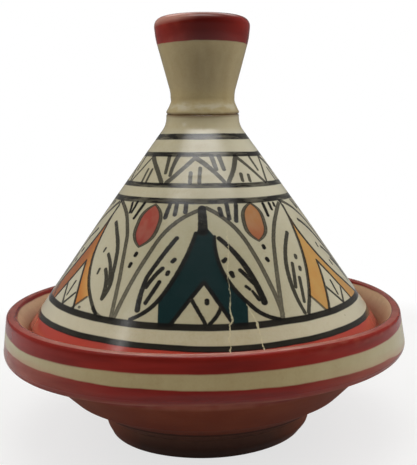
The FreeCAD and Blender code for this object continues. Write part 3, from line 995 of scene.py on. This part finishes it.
def makeDish():
    under, lip = dishLow.z, dishHigh.z

    def shape(spot, r, zone):
        way = math.atan2(spot.x, -spot.y)
        sag = dish["frontDip"] * (0.5 + 0.5 * math.cos(way)) ** 2 - dish["rimLift"]
        sag += dish["rightDip"] * max(0.0, math.cos(way - dish["rightWay"])) ** 6
        inner = zone in ("seat", "rim", "well")
        still = seatHeight if inner else dish["belly"][1]
        lower = sag * min(1.0, max(0.0, (spot.z - still) / (lip - still)))
        if inner:
            near = min(1.0, max(0.0, (lip - spot.z) / (lip - seatHeight)))
            near *= min(1.0, max(0.0, (spot.z - dish["wellFloor"][1]) / dish["leanFade"]))
            lower += near * spot.x * leanSlope
        else:
            near = max(0.0, 1.0 - ((spot.z - dish["bellyMiddle"]) / dish["bellyReach"]) ** 2) ** 2
            rise = dish["frontRise"] * math.exp(-((way / dish["frontReach"]) ** 2))
            lower += near * (dish["bellyDip"] - dish["bellySkew"] * math.sin(way) - rise)
        if zone == "outside":
            bulge = max(0.0, 1.0 - ((spot.z - dish["bowlMiddle"]) / dish["bowlReach"]) ** 2)
            bulge *= dish["bowlSwell"] * (1.0 + dish["bowlSkew"] * math.sin(way))
            heel = max(0.0, 1.0 - (spot.z - under) / dish["heelReach"]) * max(0.0, math.sin(way))
            wider = 1.0 + (bulge + heel * dish["heelSpread"]) / r
            spot = Vector((spot.x * wider, spot.y * wider, spot.z))
        return Vector((spot.x, spot.y, spot.z - lower))

    piece = turned("dishBowl", [
        (0.0, under, 0, "under"),
        (dish["foot"], under, 0, "outside"),
        (*dish["heel"], dish["heelRound"], "outside"),
        (*dish["bowlEdge"], dish["edgeRound"], "outside"),
        (*dish["step"], dish["stepRound"], "outside"),
        (*dish["belly"], dish["bellyRound"], "outside"),
        (dish["lip"], lip, dish["lipRound"], "crest"),
        (dish["lipInner"], lip, dish["lipRound"], "rim"),
        (dish["seatOuter"], seatHeight, 0, "seat"),
        (dish["seatInner"], seatHeight, dish["seatRound"], "well"),
        (*dish["wellSide"], dish["wellRound"], "well"),
        (*dish["wellFloor"], dish["wellRound"], "well"),
        (0.0, dish["wellFloor"][1], 0, "well"),
    ], {
        "outside": dishGlaze(), "crest": crestGlaze(), "rim": rimGlaze(), "well": wellGlaze(),
        "seat": bareClay, "under": bareClay,
    }, painted=("outside",), shape=shape)
    put(piece, "base", "dish")


lid = {
    "edge": 2.4, "edgeRound": 0.9, "wall": 7.5, "swell": 0.7,
    "neck": 23.3, "coneTop": 194.6, "neckRound": 14.0, "ceiling": (15.8, 191.9), "ceilingRound": 8.0,
}
neck = {
    "coil": 23.5, "coilRound": 1.0, "bore": 16.55, "shoulder": 1.6, "shoulderRound": 1.2,
    "waist": 20.5, "waistLow": 209.4, "waistRound": 6.0,
    "lift": 0.4, "dip": 1.6, "seamReach": 6.0,
    "lumpSize": 6.0, "lumpDepth": 0.6, "lumpFade": 3.0,
}


def seamShape(spot, r, zone):
    # the seam dips at the front, and lies true again a little way off it
    near = max(0.0, 1.0 - abs(spot.z - coilLow.z) / neck["seamReach"]) * min(1.0, r / neck["coil"])
    dip = neck["dip"] * max(0.0, -spot.y) / neck["coil"] - neck["lift"]
    return Vector((spot.x, spot.y, spot.z - near * dip))


def makeLid():
    outer, seam = lidHigh.x, lidHigh.z

    def shape(spot, r, zone):
        # the cone swells a little between its foot and its neck
        gone = min(1.0, max(0.0, (spot.z - seatHeight) / (lid["coneTop"] - seatHeight)))
        swell = 1.0 + lid["swell"] * math.sin(math.pi * gone) / r if zone == "outside" else 1.0
        return seamShape(Vector((spot.x * swell, spot.y * swell, spot.z)), r, zone)

    piece = turned("lidShell", [
        (0.0, seam, 0, "outside"),
        (lid["neck"], seam, lid["edgeRound"], "outside"),
        (lid["neck"], lid["coneTop"], lid["neckRound"], "outside"),
        (outer, seatHeight + lid["edge"], lid["edgeRound"], "outside"),
        (outer, seatHeight, lid["edgeRound"], "inside"),
        (outer - lid["wall"], seatHeight, lid["edgeRound"], "inside"),
        (*lid["ceiling"], lid["ceilingRound"], "inside"),
        (0.0, lid["ceiling"][1], 0, "inside"),
    ], {"outside": lidGlaze(), "inside": bareClay}, painted=("outside",), shape=shape)
    leaned(piece)
    put(piece, "lid", "lid_cone")


def makeNeck():
    low, high = coilLow.z, coilHigh.z

    def shape(spot, r, zone):
        lump = 0.5 + 0.5 * noise.noise(spot / neck["lumpSize"])
        lump *= neck["lumpDepth"] * min(1.0, (high - spot.z) / neck["lumpFade"])
        inside = (r - lump) / r if r > neck["bore"] else 1.0
        return seamShape(Vector((spot.x * inside, spot.y * inside, spot.z)), r, zone)

    piece = turned("neckBand", [
        (neck["bore"], low, 0, "outside"),
        (neck["coil"], low, neck["coilRound"], "outside"),
        (neck["coil"], low + neck["shoulder"], neck["shoulderRound"], "outside"),
        (neck["waist"], neck["waistLow"], neck["waistRound"], "outside"),
        (neck["waist"], high, 0, "outside"),
        (neck["bore"], high, 0, "outside"),
    ], {"outside": neckGlaze()}, shape=shape)
    leaned(piece)
    put(piece, "lid", "neck_coil")


knob = {
    "stem": 16.5, "waistHigh": 214.5, "waistRound": 18.0, "flare": (29.4, 247.1), "flareRound": 45.0,
    "cup": (12.1, 221.6), "cupRound": 7.0,
    "lip": 30.8, "lipRound": 5.4, "mouth": 22.8, "mouthRound": 2.2,
}


def makeKnob():
    low, waist, top = knobLow.z, coilHigh.z, knobHigh.z - lidLean["trim"]
    piece = turned("knobCup", [
        (0.0, low, 0, "outside"),
        (knob["stem"], low, 0, "outside"),
        (knob["stem"], waist, 0, "outside"),
        (neck["waist"], waist, 0, "outside"),
        (neck["waist"], knob["waistHigh"], knob["waistRound"], "outside"),
        (*knob["flare"], knob["flareRound"], "outside"),
        (knob["lip"], top, knob["lipRound"], "outside"),
        (knob["mouth"], top, knob["mouthRound"], "cup"),
        (*knob["cup"], knob["cupRound"], "cup"),
        (0.0, knob["cup"][1], 0, "cup"),
    ], {"outside": knobGlaze(), "cup": cupGlaze()})
    leaned(piece)
    put(piece, "lid", "lid_knob")


makeFoot()
makeDish()
makeLid()
makeNeck()
makeKnob()
print("pieces made")


# Camera, floor and light

view = {
    "lens": 60.36, "sensor": 36.0, "nearest": 0.01,
    "place": (0.0043, -0.498, 0.188), "lookDown": 7.14, "roll": 1.39,
}


def makeCamera():
    camera = bpy.data.cameras.new("camera")
    camera.lens = view["lens"]
    camera.sensor_width = view["sensor"]
    camera.clip_start = view["nearest"]
    holder = bpy.data.objects.new("camera", camera)
    holder.location = view["place"]
    tilt = Matrix.Rotation(math.radians(90 - view["lookDown"]), 3, "X")
    holder.rotation_euler = (tilt @ Matrix.Rotation(math.radians(-view["roll"]), 3, "Z")).to_euler()
    bpy.context.scene.collection.objects.link(holder)
    bpy.context.scene.camera = holder


floorLook = {
    "size": 12.0, "pale": paint(236, 234, 230), "white": (1, 1, 1, 1), "bounce": 0.45,
    "nearShadow": 0.16, "farWhite": 0.42, "paleness": 0.7, "gloss": 0.15,
}


def makeFloor():
    reach = floorLook["size"]
    mesh = bpy.data.meshes.new("floor")
    corners = [(-reach, -reach, 0), (reach, -reach, 0), (reach, reach, 0), (-reach, reach, 0)]
    mesh.from_pydata(corners, [], [(0, 1, 2, 3)])
    material = bpy.data.materials.new("floor")
    material.use_nodes = True
    tree = material.node_tree
    tree.nodes.clear()
    start = Wire(tree)
    place = start.node("ShaderNodeTexCoord", {}, {}, "Object")
    away = start.node("ShaderNodeVectorMath", {"operation": "LENGTH"}, {0: place}, 1)
    middle = (floorLook["nearShadow"] + floorLook["farWhite"]) / 2
    fade = away.above(middle, floorLook["farWhite"] - floorLook["nearShadow"]).most(floorLook["paleness"])
    rays = start.node("ShaderNodeLightPath", {}, {}, "Is Camera Ray").socket.node
    seen = Wire(tree, rays.outputs["Is Camera Ray"]) + Wire(tree, rays.outputs["Is Transmission Ray"])
    seen = (seen + Wire(tree, rays.outputs["Is Glossy Ray"]) * floorLook["gloss"]).least(1.0)
    grey = seen.between((floorLook["bounce"],) * 3 + (1.0,), floorLook["pale"])
    plain = start.node("ShaderNodeBsdfDiffuse", {}, {"Color": grey})
    white = start.node("ShaderNodeEmission", {}, {"Color": floorLook["white"], "Strength": 1.0})
    both = start.node("ShaderNodeMixShader", {}, {0: fade * seen, 1: plain, 2: white})
    start.node("ShaderNodeOutputMaterial", {}, {"Surface": both})
    mesh.materials.append(material)
    floor = bpy.data.objects.new("floor", mesh)
    bpy.context.scene.collection.objects.link(floor)


lamps = {  # place, what it faces, width, height, power, spread of its beam, whether the glaze mirrors it
    "leftBox": ((-1.1, -0.05, 0.76), (0, 0, 0.12), 1.3, 1.1, 8.6, 180, False),
    "rightBox": ((1.1, -0.05, 0.86), (0, 0, 0.12), 1.3, 1.1, 10.2, 180, False),
    "topBox": ((0.0, -0.26, 1.2), (0, -0.25, 0.0), 1.4, 0.34, 1.5, 68, True),
    "leftGlow": ((-0.86, -0.42, 0.9), (-0.05, -0.1, 0.08), 0.09, 0.16, 0.2, 180, True),
    "backBox": ((0.0, 0.5, 1.0), (0, 0, 0.15), 1.0, 0.4, 2.6, 180, True),
}

studio = {
    "white": (1, 1, 1, 1), "soft": 0.11,  # light from all round
    "shineLess": 0.07,  # so much less of it is mirrored
    "backShine": 0.16, "backLevel": 0.1, "backEdge": 0.8,  # a pale wall behind, in mirrors only
}


def makeLight():
    for name, (place, target, width, height, power, spread, mirrored) in lamps.items():
        lamp = bpy.data.lights.new(name, "AREA")
        lamp.shape = "RECTANGLE"
        lamp.size, lamp.size_y = width, height
        lamp.energy = power
        lamp.spread = math.radians(spread)
        holder = bpy.data.objects.new(name, lamp)
        holder.location = place
        holder.visible_glossy = mirrored
        holder.rotation_euler = (Vector(target) - Vector(place)).to_track_quat("-Z", "Y").to_euler()
        bpy.context.scene.collection.objects.link(holder)
    world = bpy.data.worlds.new("studio")
    bpy.context.scene.world = world
    world.use_nodes = True
    tree = world.node_tree
    tree.nodes.clear()
    start = Wire(tree)
    rays = start.node("ShaderNodeLightPath", {}, {}, "Is Camera Ray").socket.node
    camera = Wire(tree, rays.outputs["Is Camera Ray"])
    shine = Wire(tree, rays.outputs["Is Glossy Ray"]) + Wire(tree, rays.outputs["Is Transmission Ray"])
    way = start.node("ShaderNodeTexCoord", {}, {}, "Generated")
    back = way.dot((0, 1, 0)).above(studio["backLevel"], studio["backEdge"])
    soft = studio["soft"] - shine.least(1.0) * studio["shineLess"]
    strength = camera.most((shine * back * studio["backShine"]).most(soft))
    glow = start.node("ShaderNodeBackground", {}, {"Color": studio["white"], "Strength": strength})
    start.node("ShaderNodeOutputWorld", {}, {"Surface": glow})


makeCamera()
makeFloor()
makeLight()
bpy.context.scene.view_settings.view_transform = "Standard"
print("camera, floor and light set")
